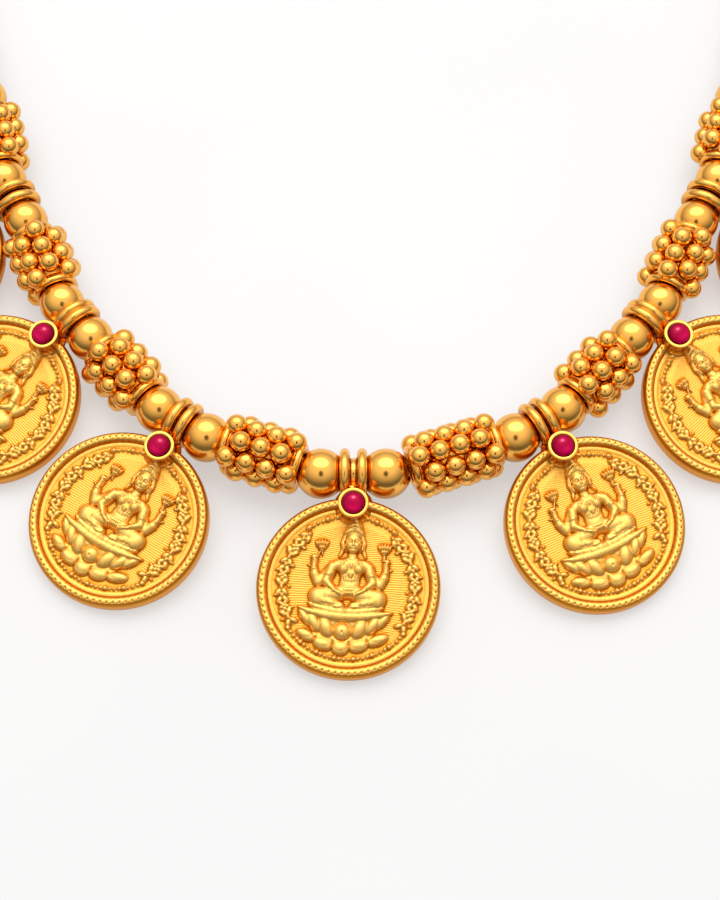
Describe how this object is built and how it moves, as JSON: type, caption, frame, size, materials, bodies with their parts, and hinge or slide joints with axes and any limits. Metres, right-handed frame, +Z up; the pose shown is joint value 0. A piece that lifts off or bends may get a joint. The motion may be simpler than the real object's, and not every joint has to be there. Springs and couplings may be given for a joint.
{
  "type": "temple necklace of gold coins",
  "caption": "Beaded gold necklace lying in a closed loop, with embossed coin pendants on double-ring bails, each set with a round red cabochon.",
  "frame": {"origin": "on the surface that the necklace lies on, below the middle of its bounding box", "axes": "+Z up from the surface, +Y towards the clasp, -Y towards the middle coin, +X to the right in the picture"},
  "size_m": [0.153, 0.1844, 0.0095],
  "materials": {
    "coin_gold": "satin",
    "bead_gold": "polished",
    "granule_gold": "polished",
    "ruby": "gloss",
    "wire": "satin"
  },
  "bodies": {
    "root": {"coin_left_3": "coin_gold", "coin_left_2": "coin_gold", "coin_left_1": "coin_gold", "coin_middle": "coin_gold", "coin_right_1": "coin_gold", "coin_right_2": "coin_gold", "coin_right_3": "coin_gold", "ruby_left_3": "ruby", "ruby_left_2": "ruby", "ruby_left_1": "ruby", "ruby_middle": "ruby", "ruby_right_1": "ruby", "ruby_right_2": "ruby", "ruby_right_3": "ruby", "barrel_left_4": "granule_gold", "barrel_left_3": "granule_gold", "barrel_left_2": "granule_gold", "barrel_left_1": "granule_gold", "barrel_right_1": "granule_gold", "barrel_right_2": "granule_gold", "barrel_right_3": "granule_gold", "barrel_right_4": "granule_gold", "bead_left_1": "bead_gold", "bead_left_2": "bead_gold", "bead_left_3": "bead_gold", "bead_left_4": "bead_gold", "bead_left_5": "bead_gold", "bead_left_6": "bead_gold", "bead_left_7": "bead_gold", "bead_left_8": "bead_gold", "bead_right_1": "bead_gold", "bead_right_2": "bead_gold", "bead_right_3": "bead_gold", "bead_right_4": "bead_gold", "bead_right_5": "bead_gold", "bead_right_6": "bead_gold", "bead_right_7": "bead_gold", "bead_right_8": "bead_gold", "back_beads_left": "bead_gold", "back_beads_right": "bead_gold", "thread": "wire", "clasp": "bead_gold"}
  },
  "joints": []
}
